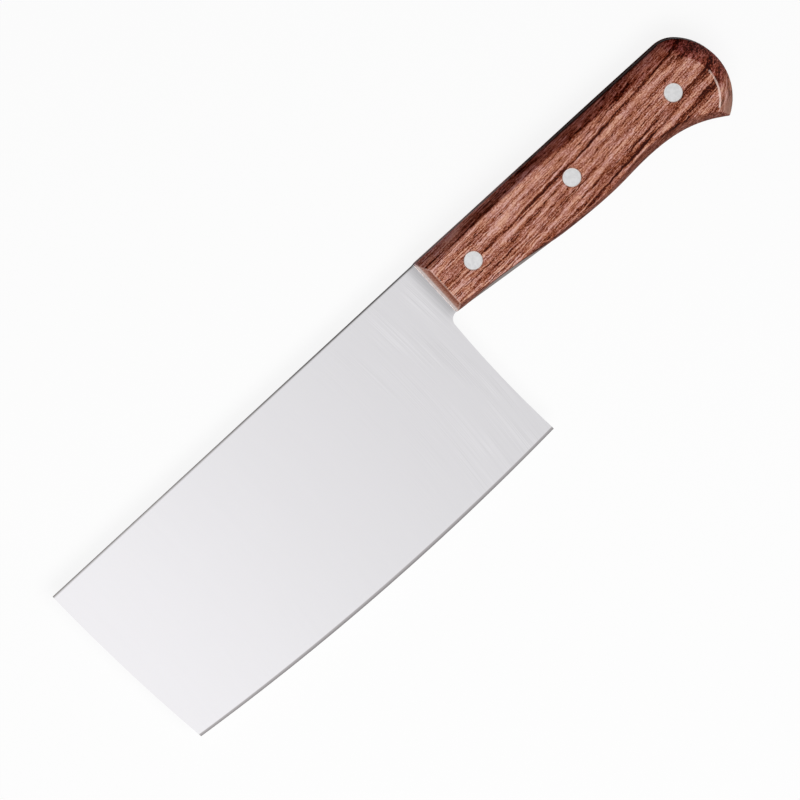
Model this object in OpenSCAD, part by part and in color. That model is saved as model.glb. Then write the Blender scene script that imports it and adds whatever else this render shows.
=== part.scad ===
// Chinese vegetable cleaver with a full tang and a riveted wooden handle, in millimetres.
// The knife lies on its side: X runs from the front of the blade to the butt, +Y is the spine
// side and +Z is up. The outlines are drawn from the front corner of the spine, and place()
// moves them so that the origin is under the middle of the whole knife.

/* [Blade outline] */
// Length of the blade along the spine, from its front corner to the wood
blade_len = 175; // [150:1:200]
// Greatest depth of the blade, from the spine to the cutting edge
blade_depth = 80.5; // [72:0.1:95]
// Radius of the shallow curve of the cutting edge
edge_curve_r = 980; // [700:10:2000]
// Distance from the front corner of the spine to the deepest place of the edge
edge_low_x = 116; // [90:1:130]
// How far the foot of the front edge leans back towards the handle
front_lean = 4.8; // [1:0.1:10]
// How far the front edge swells outwards between its two corners
front_bow = 0.9; // [0.2:0.1:3]
// Distance between the heel edge and the front of the wood
heel_gap = 3.6; // [3.4:0.1:8]
// How far the heel corner reaches back past the top of the heel edge
heel_lean = 0.9; // [0:0.1:3]
// How far the heel edge is hollowed between its ends
heel_hollow = 0.8; // [0.2:0.1:2]
// Radius of the round inner corner between the heel edge and the neck
neck_r = 3.3; // [1:0.1:3.6]

/* [Blade grind] */
// Thickness of the steel along the spine and through the tang
steel_t = 2; // [1.5:0.1:3]
// Depth of the parallel zone under the spine, before the grind starts
flat_depth = 27; // [26.9:0.1:45]
// Thickness of the steel just behind the sharpened bevel
edge_t = 0.5; // [0.3:0.05:1.2]
// Height of the sharpened bevel
bevel_h = 1; // [0.6:0.1:3]
// Width of the land left along the cutting edge
edge_land = 0.1; // [0.05:0.01:0.2]
// Radius that eases the two long corners of the spine
spine_ease = 0.4; // [0.1:0.05:0.7]

/* [Handle outline] */
// Length of the wood, from the blade to the furthest place of the butt
handle_len = 129.9; // [122:0.1:145]
// Thickness of the whole handle, steel included
handle_t = 19; // [15:0.1:24]
// How far the top of the handle falls from the blade to the butt
butt_drop = 0.95; // [0:0.05:1.5]
// Depth of the handle where it meets the blade
neck_depth = 23.1; // [20:0.1:26]
// Slope of the lower side where it leaves the blade, as a fall per length
neck_slope = 0.118; // [0.05:0.001:0.2]
// Depth of the handle at its belly
belly_depth = 29.3; // [28:0.1:34]
// Distance from the blade to the belly
belly_x = 68.3; // [55:0.1:74]
// Depth of the handle at its waist, behind the belly
waist_depth = 28.45; // [26:0.05:31]
// Distance from the blade to the waist
waist_x = 88.6; // [84:0.1:94]
// Depth at which the butt reaches furthest back
butt_mid_depth = 19; // [18:0.1:20.5]
// Radius of the butt above that place
butt_upper_r = 20.5; // [19.5:0.1:30]
// Radius of the butt below that place, down to the beak
butt_lower_r = 21.6; // [19:0.1:23]
// Radius of the corner between the butt and the top of the handle
butt_corner_r = 11; // [8:0.1:15]
// Angle of the lower butt round at which it ends in the beak
beak_angle = 59.7; // [50:0.1:66]
// Slope of the lower side where it ends in the beak, in degrees
beak_slope = 35; // [28:1:42]

/* [Handle chamfers] */
// Width of the chamfer along the front end of each scale
front_chamfer = 2.9; // [1.5:0.1:4.5]
// Width of the top chamfer at the front end
top_chamfer_front = 4; // [2:0.1:5]
// Width of the top chamfer at its narrowest place
top_chamfer_mid = 2.2; // [1.5:0.1:4]
// Width of the top chamfer at the butt
top_chamfer_butt = 5.7; // [3:0.1:7]
// Width of the lower chamfer at the front end
low_chamfer_front = 3.5; // [2:0.1:5]
// Width of the lower chamfer at the belly
low_chamfer_belly = 2.6; // [1.5:0.1:4.5]
// Width of the lower chamfer at the waist
low_chamfer_waist = 4; // [2:0.1:5]
// Width of the lower chamfer at the beak
low_chamfer_beak = 3.1; // [2:0.1:4]
// Width of the chamfer round the butt
butt_chamfer = 5.5; // [3:0.1:6.5]
// Height of the square wood next to the steel at the front end
front_wall = 0.9; // [0.7:0.1:3]
// Height of the square wood next to the steel at the butt
butt_wall = 2.4; // [0.7:0.1:4]
// Share of the chamfer that is flat, where the rest swells outwards
chamfer_flatness = 0.6; // [0.3:0.05:1]
// How far the ground wood stands back from the tang behind the neck
tang_show = 1.5; // [0:0.1:1.7]
// Length along which it stands back
tang_show_len = 48; // [20:1:60]

/* [Rivets] */
// Distance from the blade to the front rivet
front_rivet_x = 16.6; // [10:0.1:24]
// Depth of the front rivet below the top of the handle
front_rivet_depth = 11.8; // [9:0.1:15]
// Distance from the blade to the middle rivet
middle_rivet_x = 62.5; // [50:0.1:75]
// Depth of the middle rivet below the top of the handle
middle_rivet_depth = 13.9; // [9:0.1:18]
// Distance from the blade to the butt rivet
butt_rivet_x = 109.6; // [95:0.1:114]
// Depth of the butt rivet below the top of the handle
butt_rivet_depth = 16.2; // [12:0.1:20]
// Diameter of the rivet heads
head_d = 6.4; // [5.6:0.1:8]
// Height of the rivet heads
head_h = 2; // [1.2:0.1:3]
// Outer diameter of the sleeve half
sleeve_d = 4.8; // [4.2:0.1:5.2]
// Diameter of the post half, which is pressed into the sleeve
post_d = 3.2; // [2:0.1:3.6]
// Length of the post that is inside the sleeve
post_grip = 9; // [5:0.1:10]
// Room beyond the end of the post and of the sleeve
rivet_end_gap = 0.5; // [0.2:0.1:1]
// Play between the sleeve and the holes through the wood and the tang, on the radius
sleeve_play = 0.1; // [0.05:0.01:0.2]
// Play between a head and its counterbore, on the radius
head_play = 0.03; // [0.02:0.01:0.1]
// Play between the post and the sleeve, on the radius
post_play = 0.01; // [0.01:0.01:0.05]

/* [Seal] */
// Size of the bead of sealing lacquer in the corner between the blade and each scale
bead_r = 0.7; // [0.4:0.05:0.8]
// Distance from the bead's ends to the top and the lower side of the neck
bead_inset = 0.5; // [0.4:0.1:2]

/* [Hidden] */

// Facets of the round bores and rivets, and of the long edge curve
round_fn = 64;
edge_fn = 1440;
// Room by which cutting shapes pass through what they cut
over = 0.5;

overall_len = blade_len + handle_len;
scale_t = (handle_t - steel_t) / 2;
steel_color = [0.86, 0.86, 0.87];
wood_color = [0.62, 0.35, 0.27];
rivet_color = [0.80, 0.80, 0.80];
bead_color = [0.86, 0.80, 0.77];

// Everything is drawn with the middle of the steel at z = 0 and the spine along y = 0.
module place() {
    translate([-overall_len / 2, blade_depth / 2, handle_t / 2]) children();
}

function bezier(a, b, c, d, t) =
    pow(1 - t, 3) * a + 3 * pow(1 - t, 2) * t * b + 3 * (1 - t) * t * t * c + pow(t, 3) * d;
function curve(a, b, c, d, n) = [for (i = [0 : n - 1]) bezier(a, b, c, d, i / n)];
function line(a, b, n) = [for (i = [0 : n - 1]) a + (b - a) * i / n];
function arc(centre, r, from, to, n) =
    [for (i = [0 : n - 1]) let (t = from + (to - from) * i / n) centre + r * [cos(t), sin(t)]];
function smooth(t) = let (c = min(1, max(0, t))) c * c * (3 - 2 * c);
function blend(a, b, t) = a + (b - a) * smooth(t);

// A shallow arc from a to b that bulges by bow to the right of the way from a to b.
function bowed(a, b, bow, n) =
    let (half = norm(b - a) / 2, r = (half * half + bow * bow) / (2 * bow))
    let (along = (b - a) / (2 * half), right = [along[1], -along[0]])
    let (centre = (a + b) / 2 + right * (bow - r), sweep = asin(half / r))
    [for (i = [0 : n - 1]) let (t = sweep * (2 * i / n - 1)) centre + r * (along * sin(t) + right * cos(t))];

// Blade outline. The cutting edge is one arc round edge_centre.
front_points = 16;
edge_points = 48;
heel_points = 12;
neck_points = 10;
edge_centre = [edge_low_x, edge_curve_r - blade_depth];
heel_x = blade_len - heel_gap;
neck_end = heel_x + neck_r;
function edge_y(x) = edge_centre[1] - sqrt(pow(edge_curve_r, 2) - pow(x - edge_low_x, 2));
toe = [front_lean, edge_y(front_lean)];
heel = [heel_x + heel_lean, edge_y(heel_x + heel_lean)];
heel_top = [heel_x, -neck_depth - neck_r];
function edge_angle(p) = atan2(p[1] - edge_centre[1], p[0] - edge_centre[0]);

module blade_outline() {
    tang_start = blade_len + over;
    polygon(concat(
        [[tang_start, 0], [0, 0]],
        bowed([0, 0], toe, front_bow, front_points),
        arc(edge_centre, edge_curve_r, edge_angle(toe), edge_angle(heel), edge_points),
        bowed(heel, heel_top, -heel_hollow, heel_points),
        arc([neck_end, heel_top[1]], neck_r, 180, 90, neck_points),
        [[neck_end, -neck_depth], [tang_start, -neck_depth - over * neck_slope]]
    ));
}

// Section of the ground blade, as the distance from edge_centre and half the thickness there.
// The parallel zone is drawn a little past the spine, where the outline ends it.
grind_steps = 8;
grind_start = edge_curve_r - blade_depth + flat_depth;
grind_end = edge_curve_r - bevel_h;
function grind_half(t) = steel_t / 2 - (steel_t - edge_t) / 2 * t * t;
grind_curve = [for (i = [0 : grind_steps]) let (t = i / grind_steps)
    [grind_start + (grind_end - grind_start) * t, grind_half(t)]];
above_spine = edge_curve_r - blade_depth - over;

module grind_section() {
    upper = concat([[above_spine, steel_t / 2]], grind_curve, [[edge_curve_r, edge_land / 2]]);
    lower = [for (i = [len(upper) - 1 : -1 : 0]) [upper[i][0], -upper[i][1]]];
    polygon(concat(upper, lower));
}

// The section turned round the centre of the edge curve, so that the grind follows the edge.
module ground_ring() {
    spread = 2 * asin((overall_len / 2) / above_spine);
    translate([edge_centre[0], edge_centre[1], 0])
        rotate([0, 0, 270 - spread / 2])
            rotate_extrude(angle = spread, $fn = edge_fn) grind_section();
}

module spine_rounding(side) {
    offset_z = side * (steel_t / 2 - spine_ease);
    translate([-over, -spine_ease, offset_z])
        rotate([90, 0, 90])
            linear_extrude(height = blade_len + over - bead_r)
                difference() {
                    translate([0, side > 0 ? 0 : -spine_ease - over])
                        square([spine_ease + over, spine_ease + over]);
                    circle(r = spine_ease, $fn = round_fn);
                }
}

// Handle outline, as distance from the blade and depth below the top line. Each value insets
// one side, so that the same function gives the outer edge and the crease of the flat face.
butt_upper_c = [handle_len - butt_upper_r, butt_mid_depth];
butt_lower_c = [handle_len - butt_lower_r, butt_mid_depth];
beak_out = butt_lower_c + butt_lower_r * [cos(beak_angle), sin(beak_angle)];
to_waist = -[cos(beak_slope), sin(beak_slope)];
to_butt = [sin(beak_angle), -cos(beak_angle)];
beak_sine = abs(to_waist[0] * to_butt[1] - to_waist[1] * to_butt[0]);
function beak(low, butt) = beak_out + to_waist * butt / beak_sine + to_butt * low / beak_sine;

// Number of points along each stretch of the handle outline.
wood_front_points = 8;
belly_points = 20;
waist_points = 8;
beak_points = 14;
butt_points = 12;
corner_points = 10;
top_points = 16;

// Reach of the curves between the front, the belly, the waist and the beak.
belly_reach = 0.27;
waist_reach = 8;
beak_start_reach = 15;
beak_end_reach = 9.5;
neck_reach = belly_x * (1 - belly_reach) / 2;

function shown_tang(x) = x < tang_show_len ? tang_show * pow(sin(180 * x / tang_show_len), 2) : 0;

function low_side(front, low, tip) =
    let (a = [front, neck_depth + neck_slope * front - low[0]])
    let (b = [belly_x, belly_depth - low[1]])
    let (c = [waist_x, waist_depth - low[2]])
    let (after_a = a + [neck_reach, neck_slope * neck_reach + low[0] - low[1]])
    concat(
        curve(a, after_a, b - [belly_x * belly_reach, 0], b, belly_points),
        curve(b, b + [waist_reach, 0], c - [waist_reach, 0], c, waist_points),
        curve(c, c + [beak_start_reach, 0], tip + to_waist * beak_end_reach, tip, beak_points)
    );

function butt_side(top, butt, corner, tip) =
    let (r = butt_upper_r - butt, rise = butt_mid_depth - top - corner)
    let (reach = sqrt(max(0, pow(r - corner, 2) - rise * rise)))
    let (corner_c = [butt_upper_c[0] + reach, top + corner])
    let (turn = atan2(corner_c[1] - butt_mid_depth, corner_c[0] - butt_upper_c[0]))
    let (start = atan2(tip[1] - butt_mid_depth, tip[0] - butt_lower_c[0]))
    concat(
        [tip],
        [for (i = [1 : butt_points - 1]) let (t = start * (1 - i / butt_points))
            butt_lower_c + (butt_lower_r - butt) * [cos(t), sin(t)]],
        arc(butt_upper_c, r, 0, turn, corner_points),
        arc(corner_c, corner, turn, -90, corner_points),
        [[corner_c[0], top]]
    );

// Shares of the length at which the two handles of the top curve stand.
top_reach_butt = 0.62;
top_reach_front = 0.3;

function top_side(from, front, insets) =
    let (a = [from, insets[2] + butt_drop], d = [front, insets[0]])
    let (low_point = (8 * insets[1] - insets[0] - insets[2]) / 6)
    let (b = [from * top_reach_butt, low_point + butt_drop * top_reach_butt])
    let (c = [from * top_reach_front, low_point + butt_drop * top_reach_front])
    [for (i = [1 : top_points - 1]) bezier(a, b, c, d, i / top_points)];

function side_front(front, top, low) =
    line([front, top], [front, neck_depth + neck_slope * front - low], wood_front_points);

function wood_line(front, tops, low, butt, corner) =
    let (tip = beak(low[3], butt))
    let (round = butt_side(tops[2] + butt_drop, butt, corner, tip))
    concat(
        side_front(front, tops[0], low[0]),
        low_side(front, low, tip),
        round,
        top_side(round[len(round) - 1][0], front, tops)
    );

// Share of the butt chamfer by which the corner of the crease is tighter than that of the outline.
corner_tightening = 0.6;
outer_line = [for (p = wood_line(0, [0, 0, 0], [0, 0, 0, 0], 0, butt_corner_r))
    p[1] > neck_depth - over ? [p[0], p[1] - shown_tang(p[0])] : p];
tang_line = wood_line(0, [0, 0, 0], [0, 0, 0, 0], 0, butt_corner_r);
crease_line = wood_line(front_chamfer, [top_chamfer_front, top_chamfer_mid, top_chamfer_butt],
    [low_chamfer_front, low_chamfer_belly, low_chamfer_waist, low_chamfer_beak], butt_chamfer,
    butt_corner_r - butt_chamfer * corner_tightening);

// Chamfer of a scale, from the square wall at share 0 to the crease at share 1.
ring_shares = [0, 0.1, 0.2, 0.32, 0.45, 0.6, 0.78, 1];
wall_blend_from = 25;
wall_blend_to = 95;
function wall(x) = blend(front_wall, butt_wall, (x - wall_blend_from) / (wall_blend_to - wall_blend_from));
function chamfer_drop(share) = chamfer_flatness * (1 - share) + (1 - chamfer_flatness) * pow(1 - share, 3);
function scale_point(i, share) =
    let (flat = outer_line[i] + (crease_line[i] - outer_line[i]) * share)
    [blade_len + flat[0], -flat[1], scale_t - (scale_t - wall(outer_line[i][0])) * chamfer_drop(share)];

// Both flat faces are fans round a hub from which every point of the outline is in sight.
cap_hub = [butt_lower_c[0] - belly_depth / 2, butt_mid_depth / 2];

module scale_blank() {
    n = len(outer_line);
    base = [for (p = outer_line) [blade_len + p[0], -p[1], 0]];
    rings = [for (share = ring_shares) each [for (i = [0 : n - 1]) scale_point(i, share)]];
    hubs = [for (z = [0, scale_t]) [blade_len + cap_hub[0], -cap_hub[1], z]];
    top = len(ring_shares) * n;
    base_hub = top + n;
    bottom_fan = [for (i = [0 : n - 1]) [i, base_hub, (i + 1) % n]];
    top_fan = [for (i = [0 : n - 1]) [top + i, top + (i + 1) % n, base_hub + 1]];
    sides = [for (k = [0 : len(ring_shares) - 1]) for (i = [0 : n - 1]) let (j = (i + 1) % n)
        each [[k * n + i, k * n + j, (k + 1) * n + j], [k * n + i, (k + 1) * n + j, (k + 1) * n + i]]];
    points = concat(base, rings, hubs);
    polyhedron(points = points, faces = concat(bottom_fan, sides, top_fan), convexity = 4);
}

rivets = [[front_rivet_x, front_rivet_depth], [middle_rivet_x, middle_rivet_depth],
    [butt_rivet_x, butt_rivet_depth]];

module at_rivet(i) {
    translate([blade_len + rivets[i][0], -rivets[i][1], 0]) children();
}

module rivet_bore() {
    counterbore_at = scale_t - head_h;
    translate([0, 0, -over])
        cylinder(h = scale_t + 2 * over, d = sleeve_d + 2 * sleeve_play, $fn = round_fn);
    translate([0, 0, counterbore_at])
        cylinder(h = head_h + over, d = head_d + 2 * head_play, $fn = round_fn);
}

// One scale with its inner face at z = 0 and its outer face up.
module scale_solid() {
    difference() {
        scale_blank();
        for (i = [0 : len(rivets) - 1]) at_rivet(i) rivet_bore();
    }
}

// Half of a rivet with its head's flat top at the outside of the handle.
head_seat = handle_t / 2 - head_h;
sleeve_end = -head_seat + rivet_end_gap;
post_end = sleeve_end + post_grip;

module rivet_sleeve_solid() {
    bore_end = post_end + rivet_end_gap;
    difference() {
        union() {
            translate([0, 0, head_seat]) cylinder(h = head_h, d = head_d, $fn = round_fn);
            translate([0, 0, sleeve_end]) cylinder(h = head_seat - sleeve_end, d = sleeve_d, $fn = round_fn);
        }
        translate([0, 0, sleeve_end - over])
            cylinder(h = bore_end - sleeve_end + over, d = post_d + 2 * post_play, $fn = round_fn);
    }
}

module rivet_post_solid() {
    translate([0, 0, -head_seat - head_h]) cylinder(h = head_h, d = head_d, $fn = round_fn);
    translate([0, 0, -head_seat]) cylinder(h = head_seat + post_end, d = post_d, $fn = round_fn);
}

// Quarter-round bead along the corner between the blade and the front of a scale.
module bead_solid() {
    bead_len = neck_depth - 2 * bead_inset;
    translate([blade_len, -bead_inset, steel_t / 2])
        rotate([90, 0, 0])
            linear_extrude(height = bead_len)
                intersection() {
                    circle(r = bead_r, $fn = round_fn);
                    translate([-bead_r, 0]) square([bead_r, bead_r]);
                }
}

module tang_outline() {
    start = neck_depth + over * neck_slope;
    polygon(concat(
        [[blade_len + over, 0], [blade_len + over, -start]],
        [for (p = tang_line) if (p[0] > over) [blade_len + p[0], -p[1]]]
    ));
}

module blade() {
    color(steel_color) place() difference() {
        union() {
            intersection() {
                linear_extrude(height = 2 * steel_t, center = true) blade_outline();
                ground_ring();
            }
            linear_extrude(height = steel_t, center = true) tang_outline();
        }
        spine_rounding(1);
        spine_rounding(-1);
        for (i = [0 : len(rivets) - 1]) at_rivet(i)
            cylinder(h = 2 * steel_t, d = sleeve_d + 2 * sleeve_play, center = true, $fn = round_fn);
    }
}

module left_handle_scale() {
    color(wood_color) place() translate([0, 0, steel_t / 2]) scale_solid();
}

module right_handle_scale() {
    color(wood_color) place() mirror([0, 0, 1]) translate([0, 0, steel_t / 2]) scale_solid();
}

module rivet_post(i) {
    color(rivet_color) place() at_rivet(i) rivet_post_solid();
}

module rivet_sleeve(i) {
    color(rivet_color) place() at_rivet(i) rivet_sleeve_solid();
}

module front_rivet_post() { rivet_post(0); }
module front_rivet_sleeve() { rivet_sleeve(0); }
module middle_rivet_post() { rivet_post(1); }
module middle_rivet_sleeve() { rivet_sleeve(1); }
module butt_rivet_post() { rivet_post(2); }
module butt_rivet_sleeve() { rivet_sleeve(2); }

module left_seal_bead() {
    color(bead_color) place() bead_solid();
}

module right_seal_bead() {
    color(bead_color) place() mirror([0, 0, 1]) bead_solid();
}

blade();
left_handle_scale();
right_handle_scale();
front_rivet_post();
front_rivet_sleeve();
middle_rivet_post();
middle_rivet_sleeve();
butt_rivet_post();
butt_rivet_sleeve();
left_seal_bead();
right_seal_bead();
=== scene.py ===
import math

import bmesh
import bpy
from mathutils import Matrix, Vector, noise


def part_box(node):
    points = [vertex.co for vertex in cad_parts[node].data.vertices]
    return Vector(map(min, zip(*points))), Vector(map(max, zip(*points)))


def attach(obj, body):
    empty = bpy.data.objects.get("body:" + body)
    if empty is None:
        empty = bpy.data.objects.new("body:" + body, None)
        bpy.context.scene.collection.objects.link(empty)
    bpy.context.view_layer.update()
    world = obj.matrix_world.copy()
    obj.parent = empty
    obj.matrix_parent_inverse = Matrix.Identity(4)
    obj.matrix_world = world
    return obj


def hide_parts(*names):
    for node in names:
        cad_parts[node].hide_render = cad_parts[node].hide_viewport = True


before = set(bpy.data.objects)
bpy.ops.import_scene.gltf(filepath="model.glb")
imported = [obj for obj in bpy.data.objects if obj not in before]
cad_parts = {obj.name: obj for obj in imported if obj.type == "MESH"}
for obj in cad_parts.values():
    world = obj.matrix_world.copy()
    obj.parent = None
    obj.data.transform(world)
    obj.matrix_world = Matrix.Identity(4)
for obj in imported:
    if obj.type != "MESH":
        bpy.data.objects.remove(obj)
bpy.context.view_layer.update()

# The blade is one plate of stainless steel, ground thin behind the edge, that runs on as the tang.
# Its faces are finished with a fine belt from the spine to the edge, and the edge bevel is ground
# coarser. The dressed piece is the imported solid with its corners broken.
blade_low, blade_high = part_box("blade")
spine_corner = Vector((blade_low.x, blade_high.y, (blade_low.z + blade_high.z) / 2))
neck_mm = 1000 * (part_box("left_handle_scale")[0].x - spine_corner.x)
corner_break = 0.00012
middle_depth_mm = 40.0
line_bow = 0.0012
edge_centre_mm = (116.0, 899.5)
edge_radius_mm = 980.0
edge_land_mm = 0.3
bevel_height_mm = 1.05
bevel_swell_mm = 0.2
steel_tone = (0.735, 0.725, 0.745, 1)
grazing_tint = (0.3, 0.3, 0.3, 1)
bevel_tone = (0.44, 0.42, 0.425, 1)
edge_tone = (0.26, 0.243, 0.248, 1)
spine_tone = (0.46, 0.435, 0.43, 1)
spine_shade_at_neck = (0.16, 0.15, 0.15, 1)
spine_shade_in_wood = (0.03, 0.027, 0.027, 1)
cut_tone = (0.42, 0.405, 0.40, 1)
tang_shade_tone = (0.27, 0.235, 0.225, 1)
tang_cut_shade_tone = (0.36, 0.345, 0.34, 1)


def put(name, data):
    """A new object in the scene."""
    made = bpy.data.objects.new(name, data)
    bpy.context.scene.collection.objects.link(made)
    return made


def merged_copy(node_name):
    """The node's mesh as one closed skin, with its flat faces whole again."""
    skin = bmesh.new()
    skin.from_mesh(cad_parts[node_name].data)
    bmesh.ops.remove_doubles(skin, verts=skin.verts, dist=2e-6)
    bmesh.ops.dissolve_limit(skin, angle_limit=math.radians(0.05), use_dissolve_boundaries=False,
                             verts=skin.verts, edges=skin.edges, delimit=set())
    skin.normal_update()
    return skin


def corners(skin, angle):
    """The edges at which the skin turns by more than the angle, in degrees."""
    shared = [e for e in skin.edges if len(e.link_faces) == 2]
    return [e for e in shared if e.calc_face_angle() > math.radians(angle)]


def break_edges(skin, edges, width, segments):
    """Rounds the edges, and gives back the new narrow faces."""
    made = bmesh.ops.bevel(skin, geom=edges, offset=width, offset_type="OFFSET", segments=segments,
                           profile=0.5, affect="EDGES", clamp_overlap=True, material=-1)
    return made["faces"]


def finish_piece(skin, name, material, node_name):
    """Makes the skin an object that stands for its node and rides on the knife."""
    mesh = bpy.data.meshes.new(name)
    skin.to_mesh(mesh)
    skin.free()
    mesh.polygons.foreach_set("use_smooth", [True] * len(mesh.polygons))
    mesh.set_sharp_from_angle(angle=math.radians(32))
    mesh.materials.append(material)
    piece = put(name, mesh)
    weighted = piece.modifiers.new("weighted_normals", "WEIGHTED_NORMAL")
    weighted.keep_sharp = True
    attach(piece, "root")
    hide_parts(node_name)


def new_material(name):
    """A material, with its tree and its shader."""
    material = bpy.data.materials.new(name)
    material.use_nodes = True
    return material, material.node_tree, material.node_tree.nodes["Principled BSDF"]


def node(tree, kind, values=None, **settings):
    """A node with its settings, and with a value or a link on each socket that is given."""
    made = tree.nodes.new(kind)
    for name, value in settings.items():
        setattr(made, name, value)
    for socket, value in (values or {}).items():
        if isinstance(value, bpy.types.NodeSocket):
            tree.links.new(value, made.inputs[socket])
        else:
            made.inputs[socket].default_value = value
    return made.outputs


def calc(tree, operation, a, b=0.0, c=0.0):
    """One step of arithmetic on numbers."""
    return node(tree, "ShaderNodeMath", {0: a, 1: b, 2: c}, operation=operation)[0]


def mask(tree, value, start, end, low=0.0, high=1.0):
    """A soft step of the value between start and end."""
    return node(tree, "ShaderNodeMapRange", {0: value, 1: start, 2: end, 3: low, 4: high},
                interpolation_type="SMOOTHSTEP")[0]


def tint(tree, share, a, b, blend="MIX"):
    """A mix of two colours."""
    return node(tree, "ShaderNodeMix", {0: share, 6: a, 7: b}, data_type="RGBA", blend_type=blend,
                clamp_factor=True)[2]


def vector(tree, x, y, z):
    """Three numbers as one vector."""
    return node(tree, "ShaderNodeCombineXYZ", {0: x, 1: y, 2: z})[0]


def split(tree, whole):
    """The three numbers of a vector."""
    return node(tree, "ShaderNodeSeparateXYZ", {0: whole})


def distance(tree, a, b):
    """How far two places are apart."""
    return node(tree, "ShaderNodeVectorMath", {0: a, 1: b}, operation="DISTANCE")["Value"]


def cloud(tree, place, sizes, detail, roughness=0.5):
    """Noise with spots that measure the given millimetres."""
    scaled = node(tree, "ShaderNodeVectorMath", {0: place, 1: [1 / size for size in sizes]},
                  operation="MULTIPLY")[0]
    return node(tree, "ShaderNodeTexNoise", {"Vector": scaled, "Scale": 1.0, "Detail": detail,
                                             "Roughness": roughness})[0]


def in_mm(tree, start):
    """Object coordinates in millimetres from the given place on the knife."""
    coordinates = node(tree, "ShaderNodeTexCoord")["Object"]
    return node(tree, "ShaderNodeMapping", {"Vector": coordinates, "Scale": (1000, 1000, 1000),
                                            "Location": [-1000 * c for c in start]})[0]


# Fine parallel scratches, as a belt or a sanding block leaves them on metal.
scratches = bpy.data.node_groups.new("scratches", "ShaderNodeTree")
scratches.interface.new_socket("Position", in_out="INPUT", socket_type="NodeSocketVector")
scratches.interface.new_socket("Width", in_out="INPUT", socket_type="NodeSocketFloat")
scratches.interface.new_socket("Length", in_out="INPUT", socket_type="NodeSocketFloat")
scratches.interface.new_socket("Depth", in_out="OUTPUT", socket_type="NodeSocketFloat")
scratch_in = scratches.nodes.new("NodeGroupInput").outputs
scratch_at = split(scratches, scratch_in["Position"])
stretched = vector(scratches, calc(scratches, "DIVIDE", scratch_at[0], scratch_in["Width"]),
                   calc(scratches, "DIVIDE", scratch_at[1], scratch_in["Length"]),
                   calc(scratches, "DIVIDE", scratch_at[2], scratch_in["Length"]))
scratch_noise = node(scratches, "ShaderNodeTexNoise", {"Vector": stretched, "Scale": 1.0, "Detail": 4.0,
                                                       "Roughness": 0.65})[0]
scratch_out = scratches.nodes.new("NodeGroupOutput")
scratches.links.new(scratch_noise, scratch_out.inputs["Depth"])


def scratched(tree, place, width, length):
    """Scratches of a width and a length in millimetres."""
    return node(tree, "ShaderNodeGroup", {"Position": place, "Width": width, "Length": length},
                node_tree=scratches)[0]


# The belt's lines bow about the middle of the blade. They show in patches near the handle, and are
# faint elsewhere.
steel, tree, shader = new_material("blade_steel")
place = in_mm(tree, spine_corner)
x, y, z = split(tree, place)
from_middle = calc(tree, "ADD", y, middle_depth_mm)
bow = calc(tree, "MULTIPLY", calc(tree, "MULTIPLY", from_middle, from_middle), line_bow)
lined = vector(tree, calc(tree, "ADD", x, bow), y, z)
fine = scratched(tree, lined, 0.35, 45.0)
broad = scratched(tree, lined, 3.5, 120.0)
patches = mask(tree, cloud(tree, place, (8.333, 20.0, 10.0), 1.0), 0.38, 0.62, 0.25, 1.25)
near_handle = calc(tree, "MULTIPLY", mask(tree, x, neck_mm - 65.0, neck_mm - 7.0, 0.12, 1.0), patches)
fine_tone = calc(tree, "MULTIPLY", mask(tree, fine, 0.35, 0.65, -0.045, 0.045), near_handle)
broad_tone = calc(tree, "MULTIPLY", mask(tree, broad, 0.3, 0.7, -0.02, 0.02), near_handle)

# The ground face is painted lighter towards the front, as painted light, and painted darker along the
# rounded corner of the spine and in the corner at the wood, as painted shade.
beside_wood = mask(tree, y, -27.0, -20.0)
shade_in_corner = calc(tree, "MULTIPLY", mask(tree, x, neck_mm - 5.5, neck_mm - 0.6), beside_wood)
shade_at_spine = mask(tree, y, -0.80, -0.25)
tone = calc(tree, "ADD", calc(tree, "ADD", fine_tone, broad_tone), mask(tree, x, 0.0, 95.0, 1.055, 1.0))
for share in (shade_in_corner, shade_at_spine):
    tone = calc(tree, "MULTIPLY", tone, calc(tree, "MULTIPLY_ADD", share, -0.30, 1.0))
# The bare tang beside the scales is painted dark, as painted shade.
on_tang = mask(tree, x, neck_mm + 0.2, neck_mm + 1.0)
ground = tint(tree, 1.0, steel_tone, vector(tree, tone, tone, tone), "MULTIPLY")
ground = tint(tree, on_tang, ground, tang_shade_tone)

# The bevel follows the arc of the edge, and is a little wider in the middle of the blade.
from_centre = distance(tree, vector(tree, x, y, 0.0), (*edge_centre_mm, 0.0))
past_start = calc(tree, "SUBTRACT", from_centre, edge_radius_mm - bevel_height_mm)
in_middle = calc(tree, "MULTIPLY", mask(tree, x, 0.0, 70.0), mask(tree, x, 120.0, 175.0, 1.0, 0.0))
over_bevel = calc(tree, "MULTIPLY_ADD", in_middle, bevel_swell_mm, past_start)
on_bevel = mask(tree, over_bevel, -0.15, 0.15)
# The bevel's dark tones are partly its coarser grind and partly a painted dark reflection.
bevel = tint(tree, mask(tree, over_bevel, 0.2, 1.2), bevel_tone, edge_tone)
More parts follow.
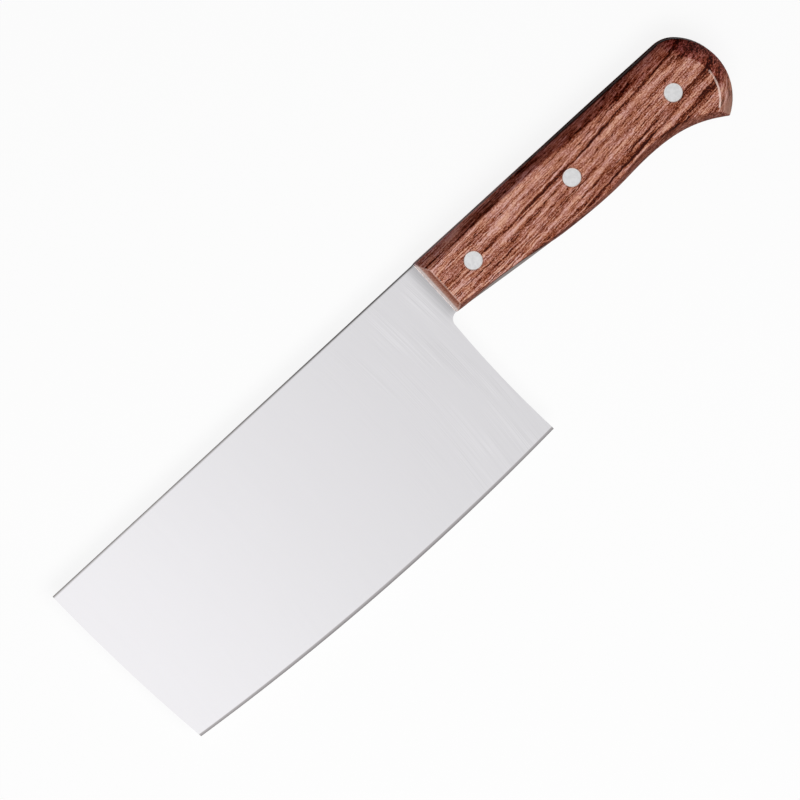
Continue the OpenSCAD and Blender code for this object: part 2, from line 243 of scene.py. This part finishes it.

# The cut outline is duller than the faces, and its darkness is partly painted shade. Along the spine
# painted shade darkens it towards the handle, and makes it nearly black where it runs on between the
# scales.
facing = split(tree, node(tree, "ShaderNodeNewGeometry")["Normal"])
on_cut = mask(tree, calc(tree, "ABSOLUTE", facing[2]), 0.45, 0.85, 1.0, 0.0)
on_spine = mask(tree, facing[1], 0.25, 0.55)
cut = tint(tree, on_tang, cut_tone, tang_cut_shade_tone)
spine = tint(tree, mask(tree, x, 40.0, neck_mm - 5.0), spine_tone, spine_shade_at_neck)
spine = tint(tree, mask(tree, x, neck_mm + 30.0, neck_mm + 65.0), spine, spine_shade_in_wood)
colour = tint(tree, on_cut, ground, cut)
colour = tint(tree, on_bevel, colour, bevel)
colour = tint(tree, on_spine, colour, spine)
roughness = calc(tree, "MULTIPLY_ADD", on_bevel, 0.12, mask(tree, fine, 0.3, 0.7, 0.28, 0.36))
relief = node(tree, "ShaderNodeBump", {"Strength": 0.12, "Distance": 0.00002, "Height": fine})[0]
tree.links.new(colour, shader.inputs["Base Color"])
tree.links.new(roughness, shader.inputs["Roughness"])
tree.links.new(relief, shader.inputs["Normal"])
shader.inputs["Metallic"].default_value = 1.0
shader.inputs["Specular Tint"].default_value = grazing_tint

skin = merged_copy("blade")
edge_middle = spine_corner.xy + Vector(edge_centre_mm) / 1000


def on_edge_land(edge):
    """Whether the edge lies on the land along the cutting edge, which is too narrow to be broken."""
    reach = [(v.co.xy - edge_middle).length for v in edge.verts]
    return min(reach) > (edge_radius_mm - edge_land_mm) / 1000


break_edges(skin, [e for e in corners(skin, 30) if not on_edge_land(e)], corner_break, 2)
finish_piece(skin, "ground_blade", steel, "blade")

# The two scales are sawn from one board of reddish open-grained hardwood, so their figure matches.
# They are shaped on a belt with broad chamfers, sanded, and finished with a thin satin lacquer.
wood_low, wood_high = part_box("left_handle_scale")
wood_corner = Vector((wood_low.x, wood_high.y, spine_corner.z))
half_thickness_mm = 1000 * (wood_high.z - spine_corner.z)
crease_round = 0.0004
same_height = 1e-5
front_creases_end = wood_corner.x + 0.00365
butt_starts = wood_corner.x + 0.11795
worn_and_lit_below = wood_corner.y - 0.01925
rivet_names = ("front", "middle", "butt")
vein_wood = (0.030, 0.004, 0.002, 1)
dark_wood = (0.105, 0.013, 0.003, 1)
dull_wood = (0.215, 0.054, 0.024, 1)
middle_wood = (0.350, 0.121, 0.077, 1)
warm_wood = (0.465, 0.198, 0.138, 1)
light_wood = (0.570, 0.264, 0.195, 1)
pale_wood = (0.70, 0.41, 0.34, 1)
beak_wood = (0.34, 0.20, 0.155, 1)
top_wall_shadow_black = (0.010, 0.004, 0.003, 1)
worn_and_lit_wood = (0.84, 0.62, 0.55, 1)
orange_hue = (1.02, 0.99, 0.89, 1)
rose_hue = (0.99, 1.0, 1.07, 1)
top_shade_front = (1.0, 0.84, 0.84, 1)
top_shade_rear = (0.93, 0.66, 0.64, 1)
low_shade = (0.36, 0.25, 0.22, 1)
front_crease_shade = (0.55, 0.42, 0.36, 1)
corner_shade = (0.72, 0.64, 0.72, 1)
butt_shade = (0.92, 0.66, 0.70, 1)
lacquer_highlight_tone = (0.76, 0.64, 0.58, 1)
bead_tone = (0.97, 0.87, 0.84, 1)
stain_tone = (0.06, 0.03, 0.025, 1)
ring_highlight_tone = (0.80, 0.72, 0.69, 1)

# Bands of growth by their height at the blade, in mm, and how pale they are.
board_height_mm = 40.0
plain_band = 0.52
growth_bands = [(3.0, 0.56), (5.2, 0.62), (7.0, 0.50), (9.0, 0.64), (10.6, 0.52), (12.0, 0.60),
                (15.2, 0.62), (17.4, 0.48), (19.0, 0.60), (21.0, 0.50), (24.0, 0.60), (26.0, 0.46),
                (28.5, 0.52), (30.0, 0.60), (33.0, 0.42), (35.0, 0.56)]

# Each dark vein by its height at the blade, its own slope, half its width, where it starts and
# ends along the handle, all in mm, and how much darker it is.
dark_veins = [(2.3, 0.020, 0.70, -5, 62, 0.55), (12.65, 0.008, 0.60, 16, 129, 0.66),
              (13.4, 0.000, 0.90, -5, 14, 0.24), (16.6, 0.045, 0.32, 9, 60, 0.38),
              (18.3, 0.000, 0.38, 82, 108, 0.38), (23.5, 0.000, 0.38, 111, 121, 0.38),
              (30.6, -0.027, 0.75, 54, 100, 0.66), (31.5, -0.027, 0.80, 94, 118, 0.24),
              (26.0, 0.000, 0.45, 60, 104, 0.34), (2.1, 0.300, 0.75, 86, 113, 0.48),
              (-3.4, 0.140, 0.55, 66, 118, 0.30), (31.2, -0.027, 1.70, 98, 131, 0.28),
              (-23.4, 0.336, 0.90, 110, 131, 0.45), (13.3, 0.163, 1.10, 112, 128, 0.30),
              (20.4, 0.178, 0.50, 14, 62, 0.40), (39.8, -0.100, 0.85, 112, 131, 0.30),
              (1.6, 0.086, 1.10, 62, 104, 0.34), (12.7, 0.008, 0.60, 76, 124, 0.16),
              (12.65, 0.008, 0.45, 15, 50, 0.20)]


def moved(tree, value, wave, reach):
    """The value shifted to either side by a wave."""
    return calc(tree, "MULTIPLY_ADD", calc(tree, "SUBTRACT", wave, 0.5), reach, value)


def turned(tree, place, degrees):
    """The place turned about the upright axis."""
    return node(tree, "ShaderNodeVectorRotate", {"Vector": place, "Angle": math.radians(degrees)},
                rotation_type="Z_AXIS")[0]


# The parts of the handle, told by the way they face and by their place in mm. The walls are the
# square wood beside the steel.
wood, tree, shader = new_material("handle_wood")
place = in_mm(tree, wood_corner)
x, y, z = split(tree, place)
normal = node(tree, "ShaderNodeNewGeometry")["Normal"]
facing = split(tree, normal)
on_front = mask(tree, facing[0], -0.75, -0.45, 1.0, 0.0)
on_butt = mask(tree, facing[0], 0.20, 0.45)
upper_butt = calc(tree, "MULTIPLY", on_butt, mask(tree, y, -29.0, -22.5))
lower_butt = calc(tree, "SUBTRACT", on_butt, upper_butt)
on_top = mask(tree, facing[1], 0.25, 0.75)
top_front_light = calc(tree, "MULTIPLY", on_top, mask(tree, x, 5.0, 60.0, 1.0, 0.0))
on_underside = mask(tree, facing[1], -0.97, -0.86, 1.0, 0.0)
on_low_chamfer = calc(tree, "MULTIPLY", mask(tree, facing[1], -0.75, -0.25, 1.0, 0.0),
                      calc(tree, "SUBTRACT", 1.0, on_butt))
on_wall = mask(tree, calc(tree, "ABSOLUTE", facing[2]), 0.02, 0.20, 1.0, 0.0)
top_wall = calc(tree, "MULTIPLY", on_wall, on_top)
top_wall_rear = calc(tree, "MULTIPLY", top_wall, mask(tree, x, 40.0, 76.0))
top_wall_sheen = calc(tree, "SUBTRACT", top_wall, top_wall_rear)
to_upper_corner = node(tree, "ShaderNodeVectorMath", {0: normal, 1: (0.70, 0.71, 0.0)},
                       operation="DOT_PRODUCT")["Value"]

# The figure climbs towards the spine on its way to the butt, and this height is level along it. In
# the lower butt it also leans, so that the chamfer there cuts across it.
climb = calc(tree, "MULTIPLY", calc(tree, "MULTIPLY_ADD", x, 0.0004, 0.025), x)
level = calc(tree, "SUBTRACT", climb, y)
level = moved(tree, level, cloud(tree, place, (33.0, 10.0, 33.0), 2.0), 1.5)
below_face = calc(tree, "SUBTRACT", half_thickness_mm, calc(tree, "ABSOLUTE", z))
lean = calc(tree, "MULTIPLY", mask(tree, x, 117.0, 123.0), mask(tree, y, -27.0, -18.0, 1.0, 0.15))
lean = calc(tree, "MULTIPLY", lean, mask(tree, y, -15.0, -9.0, 1.0, -0.1))
level = calc(tree, "MULTIPLY_ADD", below_face, lean, level)

# Two finer waves crinkle it, less on the sides than on the faces. Bands and veins follow them
# gently, and the fibres fully.
level_place = vector(tree, x, level, z)
ripple = cloud(tree, level_place, (4.5, 2.4, 12.0), 1.0)
crinkle = cloud(tree, level_place, (1.8, 0.9, 5.0), 1.0)
calm = mask(tree, calc(tree, "ABSOLUTE", facing[1]), 0.30, 0.74, 1.0, 0.12)
gentle = moved(tree, level, ripple, calc(tree, "MULTIPLY", calm, 0.7))
gentle = moved(tree, gentle, crinkle, calc(tree, "MULTIPLY", calm, 0.45))
rippled = moved(tree, level, ripple, calm)
rippled = moved(tree, rippled, crinkle, calc(tree, "MULTIPLY", calm, 0.85))

# The broad bands, and the dark veins, of which each is stronger and fainter along its way.
tone = node(tree, "ShaderNodeValToRGB", {0: calc(tree, "DIVIDE", gentle, board_height_mm)})[0]
band_ramp = tone.node.color_ramp
band_ramp.interpolation = "EASE"
for end in band_ramp.elements:
    end.color = (plain_band, plain_band, plain_band, 1)
for height, paleness in growth_bands:
    band_ramp.elements.new(height / board_height_mm).color = (paleness, paleness, paleness, 1)
fade = mask(tree, cloud(tree, place, (16.0, 5.0, 5.0), 1.0), 0.35, 0.60, 0.62, 1.0)
for height, slope, half_width, start, end, darkness in dark_veins:
    off = calc(tree, "SUBTRACT", gentle, calc(tree, "MULTIPLY_ADD", x, slope, height))
    near = mask(tree, calc(tree, "ABSOLUTE", off), 0.15 * half_width, 1.5 * half_width, 1.0, 0.0)
    begun = mask(tree, x, start, start + 9.0)
    not_ended = mask(tree, x, end - 6.0, end, 1.0, 0.0)
    strength = calc(tree, "MULTIPLY", near, calc(tree, "MULTIPLY", begun, not_ended))
    tone = calc(tree, "MULTIPLY_ADD", calc(tree, "MULTIPLY", strength, fade), -darkness, tone)

# The handle is paler at its front. Painted light brightens the front of its top, a painted sheen the
# front of the top wall, and painted shade darkens the upper butt.
tone = calc(tree, "MULTIPLY_ADD", top_wall_sheen, 0.24, tone)
tone = calc(tree, "MULTIPLY_ADD", top_front_light, 0.11, tone)
tone = calc(tree, "MULTIPLY_ADD", upper_butt, -0.20, tone)
tone = calc(tree, "ADD", tone, mask(tree, x, 10.0, 48.0, 0.07, 0.0))

# Between the veins lie finer streaks, fibres of a few tenths of a millimetre, slanting glints and
# the open pores as short dark dashes. The lower butt shows streaks of its own, across the others.
grain_place = vector(tree, x, rippled, z)
slanted = vector(tree, x, calc(tree, "MULTIPLY_ADD", x, 0.22, rippled), z)
streaks = cloud(tree, grain_place, (26.0, 1.0, 3.0), 2.0)
fibres = cloud(tree, grain_place, (19.0, 0.38, 0.9), 3.0, 0.62)
glints = cloud(tree, slanted, (2.6, 0.55, 1.4), 1.0)
pores = cloud(tree, grain_place, (3.4, 0.34, 0.6), 1.0)
end_streaks = cloud(tree, turned(tree, place, -43), (11.0, 0.95, 11.0), 2.0)
specks = cloud(tree, place, (0.60, 0.36, 0.60), 0.0)
fibre_reach = calc(tree, "MULTIPLY_ADD", mask(tree, x, 0.0, 75.0, 1.0, 0.0), 0.18, 0.64)
end_reach = calc(tree, "MULTIPLY", lower_butt, 0.44)
speck_reach = calc(tree, "MULTIPLY_ADD", lower_butt, -0.22, 0.40)
tone = moved(tree, tone, mask(tree, streaks, 0.36, 0.64), 0.26)
tone = moved(tree, tone, mask(tree, fibres, 0.36, 0.64), fibre_reach)
tone = moved(tree, tone, mask(tree, glints, 0.30, 0.70), 0.18)
tone = calc(tree, "ADD", tone, mask(tree, pores, 0.30, 0.46, -0.20, 0.02))
tone = moved(tree, tone, mask(tree, end_streaks, 0.36, 0.64), end_reach)
tone = moved(tree, tone, mask(tree, specks, 0.30, 0.70), speck_reach)

# The tone picks the colour, and its hue wanders between orange and rose.
colour = node(tree, "ShaderNodeValToRGB", {0: tone})[0]
palette = colour.node.color_ramp.elements
palette[0].color = vein_wood
palette[1].color = pale_wood
for step, wood_tone in ((0.12, dark_wood), (0.28, dull_wood), (0.47, middle_wood),
                        (0.64, warm_wood), (0.80, light_wood)):
    palette.new(step).color = wood_tone
hue = mask(tree, cloud(tree, place, (5.0, 1.9, 5.0), 2.0), 0.38, 0.62)
colour = tint(tree, 1.0, colour, tint(tree, hue, orange_hue, rose_hue), "MULTIPLY")

# The lacquer has closed the end grain on the front chamfer. Towards the blade the wood is painted pale,
# as a painted highlight on the lacquer and where the pale bead laps over the wood.
colour = tint(tree, calc(tree, "MULTIPLY", on_front, 0.65), colour, warm_wood)
colour = tint(tree, mask(tree, x, 0.0, 2.4, 0.32, 0.0), colour, lacquer_highlight_tone)
lap_unevenness = mask(tree, cloud(tree, place, (1.8, 0.7, 1.8), 2.0), 0.35, 0.65, 0.80, 1.0)
lapped_and_lit = calc(tree, "MULTIPLY", mask(tree, x, 0.45, 1.15, 0.92, 0.0), lap_unevenness)
colour = tint(tree, lapped_and_lit, colour, bead_tone)

# The chamfers are browner and darker than the flat faces as painted shade, the lower one most, and so
# are the front crease and the upper corner of the butt. The lower end of the butt near the beak is
# plainer, and painted shade makes the top wall nearly black at the rear.
top_shade = tint(tree, mask(tree, x, 20.0, 70.0), top_shade_front, top_shade_rear)
low_share = calc(tree, "MAXIMUM", calc(tree, "MULTIPLY", on_low_chamfer, 0.92), on_underside)
at_front_crease = calc(tree, "MULTIPLY", mask(tree, x, 0.8, 2.7), on_front)
at_upper_corner = mask(tree, to_upper_corner, 0.52, 0.76)
for share, shade in ((on_top, top_shade), (low_share, low_shade), (at_front_crease, front_crease_shade),
                     (at_upper_corner, corner_shade), (upper_butt, butt_shade)):
    colour = tint(tree, share, colour, shade, "MULTIPLY")
at_beak = calc(tree, "MULTIPLY", on_butt, mask(tree, y, -35.0, -28.0, 0.6, 0.0))
colour = tint(tree, at_beak, colour, beak_wood)
colour = tint(tree, calc(tree, "MULTIPLY", top_wall_rear, 0.86), colour, top_wall_shadow_black)

# A thin pale ring round each rivet is a painted highlight on the lacquer that fills the joint, with a
# dark stain outside it.
nearest_rivet = 1000.0
for rivet in rivet_names:
    low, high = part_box(rivet + "_rivet_sleeve")
    centre_mm = 1000 * ((low + high) / 2 - wood_corner)
    away = distance(tree, vector(tree, x, y, 0.0), (centre_mm.x, centre_mm.y, 0.0))
    nearest_rivet = calc(tree, "MINIMUM", away, nearest_rivet)
colour = tint(tree, mask(tree, nearest_rivet, 3.50, 3.85, 0.42, 0.0), colour, stain_tone)
colour = tint(tree, mask(tree, nearest_rivet, 3.36, 3.42, 0.95, 0.0), colour, ring_highlight_tone)

# The rounded creases are painted pale, partly as wear and partly as a painted highlight, most of all
# on the lower butt. The pores stay open under the thin lacquer, which is quite dull on the top and on
# the walls.
rubbed_and_lit = mask(tree, cloud(tree, place, (1.25, 1.25, 1.25), 2.0), 0.35, 0.6, 0.55, 0.95)
rubbed_and_lit = calc(tree, "MULTIPLY", rubbed_and_lit, mask(tree, y, -29.0, -19.0, 1.0, 0.55))
worn_and_lit = node(tree, "ShaderNodeAttribute", attribute_name="worn_and_lit")["Fac"]
colour = tint(tree, calc(tree, "MULTIPLY", worn_and_lit, rubbed_and_lit), colour, worn_and_lit_wood)
lacquered = calc(tree, "SUBTRACT", 1.0, calc(tree, "MAXIMUM", on_wall, on_top))
hollow = calc(tree, "ADD", calc(tree, "MULTIPLY", fibres, 0.5), mask(tree, pores, 0.30, 0.46))
relief = node(tree, "ShaderNodeBump", {"Strength": 0.35, "Distance": 0.0001, "Height": hollow})[0]
tree.links.new(colour, shader.inputs["Base Color"])
tree.links.new(mask(tree, pores, 0.30, 0.46, 0.65, 0.50), shader.inputs["Roughness"])
tree.links.new(calc(tree, "MULTIPLY", lacquered, 0.12), shader.inputs["Coat Weight"])
tree.links.new(relief, shader.inputs["Normal"])
shader.inputs["Specular IOR Level"].default_value = 0.0
shader.inputs["Coat Roughness"].default_value = 0.4

# The creases round the flat face and at the mitres are rounded widely, and are marked where they
# carry the painted highlight and wear. All other corners are only broken.
for scale in ("left_handle_scale", "right_handle_scale"):
    skin = merged_copy(scale)
    worn_and_lit_layer = skin.faces.layers.float.new("worn_and_lit")
    low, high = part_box(scale)
    face_height = max((low.z, high.z), key=lambda height: abs(height - spine_corner.z))
    creases = []
    for edge in corners(skin, 25):
        ends = [abs(v.co.z - face_height) for v in edge.verts]
        slopes = [f.normal for f in edge.link_faces if 0.15 < abs(f.normal.z) < 0.95]
        round_face = max(ends) < same_height and slopes
        on_mitre = abs(ends[0] - ends[1]) > same_height and len(slopes) == 2
        if round_face or on_mitre:
            creases.append(edge)
    for face in break_edges(skin, creases, crease_round, 3):
        middle = face.calc_center_median()
        at_front = middle.x < front_creases_end
        at_butt = middle.x > butt_starts and middle.y < worn_and_lit_below
        at_face = abs(middle.z - face_height) < crease_round / 2
        face[worn_and_lit_layer] = 1.0 if at_butt and at_face else 0.5 * at_front
    skin.normal_update()
    break_edges(skin, corners(skin, 40), corner_break, 2)
    finish_piece(skin, scale.replace("handle_scale", "wooden_scale"), wood, scale)

# Three cutler's rivets hold the scales. A solid half is pressed into a hollow one, and both heads
# are aluminium, sanded flush with the wood. Their rounded rims are painted brighter, as a painted
# highlight.
rim_round = 0.00012
rivet_tone = (0.75, 0.75, 0.755, 1)
rim_highlight_tone = (0.95, 0.95, 0.95, 1)

rivet_metal, tree, shader = new_material("rivet_metal")
place = in_mm(tree, wood_corner)
sanding = scratched(tree, turned(tree, place, 38), 0.30, 2.5)
cloudy = cloud(tree, place, (1.1111, 1.1111, 1.1111), 3.0)
tone = calc(tree, "ADD", mask(tree, sanding, 0.3, 0.7, -0.03, 0.03),
            mask(tree, cloudy, 0.35, 0.65, 0.94, 1.03))
colour = tint(tree, 1.0, rivet_tone, vector(tree, tone, tone, tone), "MULTIPLY")
rim_highlight = node(tree, "ShaderNodeAttribute", attribute_name="rim_highlight")["Fac"]
relief = node(tree, "ShaderNodeBump", {"Strength": 0.2, "Distance": 0.00003, "Height": sanding})[0]
tree.links.new(tint(tree, rim_highlight, colour, rim_highlight_tone), shader.inputs["Base Color"])
tree.links.new(mask(tree, sanding, 0.3, 0.7, 0.36, 0.46), shader.inputs["Roughness"])
tree.links.new(relief, shader.inputs["Normal"])
shader.inputs["Metallic"].default_value = 1.0

for rivet in rivet_names:
    for half in ("sleeve", "post"):
        node_name = rivet + "_rivet_" + half
        skin = merged_copy(node_name)
        rim_highlight_layer = skin.faces.layers.float.new("rim_highlight")
        for face in break_edges(skin, corners(skin, 40), rim_round, 3):
            face[rim_highlight_layer] = 1.0
        finish_piece(skin, rivet + "_riveted_" + half, rivet_metal, node_name)

# A thin bead of pale lacquer seals the corner between the blade and the front of each scale. It is
# laid by hand, so its width is a little uneven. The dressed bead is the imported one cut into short
# lengths, with its skin drawn in towards the corner.
bead_spread = 0.40
bead_uneven = 0.14
bead_waves_per_m = 400
bead_cuts = 40
bead_hollow_tone = (0.74, 0.62, 0.58, 1)

lacquer, tree, shader = new_material("seal_lacquer")
cloudy = cloud(tree, in_mm(tree, wood_corner), (1.6667, 1.6667, 1.6667), 3.0)
colour = tint(tree, mask(tree, cloudy, 0.35, 0.65), bead_tone, bead_hollow_tone)
tree.links.new(colour, shader.inputs["Base Color"])
tree.links.new(mask(tree, cloudy, 0.3, 0.7, 0.25, 0.38), shader.inputs["Roughness"])
shader.inputs["Coat Weight"].default_value = 0.4

for bead in ("left_seal_bead", "right_seal_bead"):
    skin = merged_copy(bead)
    low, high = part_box(bead)
    blade_face = min((low.z, high.z), key=lambda height: abs(height - spine_corner.z))
    lengths = [e for e in skin.edges if abs(e.verts[0].co.y - e.verts[1].co.y) > 0.01]
    bmesh.ops.subdivide_edges(skin, edges=lengths, cuts=bead_cuts, use_grid_fill=True)
    for vertex in skin.verts:
        wave = noise.noise(Vector((0, vertex.co.y * bead_waves_per_m, 0)))
        spread = bead_spread + bead_uneven * wave
        vertex.co.x = high.x + (vertex.co.x - high.x) * spread
        vertex.co.z = blade_face + (vertex.co.z - blade_face) * spread
    finish_piece(skin, bead.replace("seal_bead", "lacquer_bead"), lacquer, bead)

# The knife lies on a plain pale floor. The floor is a little brighter where it is looked at, so
# that it comes out white and still shows the knife's shadow.
floor_tone = (0.82, 0.82, 0.82, 1)
floor_drop = 0.0001
floor_half_size = 4.0
floor_glow_share = 0.89

floor_skin = bmesh.new()
bmesh.ops.create_grid(floor_skin, x_segments=1, y_segments=1, size=floor_half_size)
bmesh.ops.translate(floor_skin, vec=(0, 0, -floor_drop), verts=floor_skin.verts)
floor_mesh = bpy.data.meshes.new("floor")
floor_skin.to_mesh(floor_mesh)
floor_skin.free()
floor_paint, tree, shader = new_material("floor_paint")
tree.nodes.remove(shader)
matt = node(tree, "ShaderNodeBsdfDiffuse", {"Color": floor_tone})[0]
glow = node(tree, "ShaderNodeEmission", {"Color": (1, 1, 1, 1), "Strength": 1.0})[0]
path = node(tree, "ShaderNodeLightPath")
looked_at = calc(tree, "MAXIMUM", path["Is Camera Ray"], path["Is Glossy Ray"])
looked_at = calc(tree, "MAXIMUM", looked_at, path["Is Transmission Ray"])
glow_share = calc(tree, "MULTIPLY", looked_at, floor_glow_share)
painted = node(tree, "ShaderNodeMixShader", {0: glow_share, 1: matt, 2: glow})[0]
tree.links.new(painted, tree.nodes["Material Output"].inputs["Surface"])
floor_mesh.materials.append(floor_paint)
put("floor", floor_mesh)

# The room is even and pale, and darker on the side of the spine. It is white where the camera sees
# it, and nearly so where the steel mirrors it.
room_light = 0.34
room_light_at_spine = 0.08
room_mirrored = 0.90

world = bpy.data.worlds.new("pale_room")
bpy.context.scene.world = world
world.use_nodes = True
tree = world.node_tree
background = tree.nodes["Background"]
direction = split(tree, node(tree, "ShaderNodeTexCoord")["Generated"])
path = node(tree, "ShaderNodeLightPath")
ambient = mask(tree, direction[1], -0.3, 0.5, room_light, room_light_at_spine)
mirrored = calc(tree, "MAXIMUM", path["Is Glossy Ray"], path["Is Transmission Ray"])
strength = node(tree, "ShaderNodeMix", {0: mirrored, 2: ambient, 3: room_mirrored}, data_type="FLOAT")[0]
strength = node(tree, "ShaderNodeMix", {0: path["Is Camera Ray"], 2: strength, 3: 1.0},
                data_type="FLOAT")[0]
background.inputs["Color"].default_value = (1, 1, 1, 1)
tree.links.new(strength, background.inputs["Strength"])


# One large soft lamp overhead leans to the cutting edge's side. A second, weak one stands over the
# front of the blade, and gives its face the lighter end.
def area_lamp(name, width, depth, power, location):
    """A rectangular lamp that shines downwards."""
    data = bpy.data.lights.new(name, "AREA")
    data.shape = "RECTANGLE"
    data.size = width
    data.size_y = depth
    data.energy = power
    lamp = put(name, data)
    lamp.location = location
    return lamp


overhead_lamp = area_lamp("overhead_lamp", 0.9, 0.6, 9.0, (-0.10, -0.30, 1.0))
overhead_lamp.rotation_euler = (-overhead_lamp.location).to_track_quat("-Z", "Y").to_euler()
overhead_lamp.visible_glossy = False
area_lamp("front_lamp", 0.8, 0.8, 0.6, (-0.44, -0.10, 0.50))

# The camera looks from the photograph's angle: 12 degrees off square towards the spine, and turned
# so that the knife climbs to the upper right.
tilt = math.radians(12.0)
turn = math.radians(42.68)
aim = Vector((-0.01373, 0.00863, 0.01626))
camera_distance = 5.0

back = Vector((0, math.sin(tilt), math.cos(tilt)))
along = Vector((1, 0, 0))
across = Vector((0, math.cos(tilt), -math.sin(tilt)))
right = along * math.cos(turn) - across * math.sin(turn)
up = along * math.sin(turn) + across * math.cos(turn)
camera_data = bpy.data.cameras.new("camera")
camera_data.sensor_width = 36.0
camera_data.lens = 630.5
camera_data.clip_start = 0.01
camera = put("camera", camera_data)
turned_to = Matrix((right, up, back)).transposed().to_4x4()
camera.matrix_world = Matrix.Translation(aim + camera_distance * back) @ turned_to
bpy.context.scene.camera = camera
bpy.context.scene.view_settings.view_transform = "Standard"
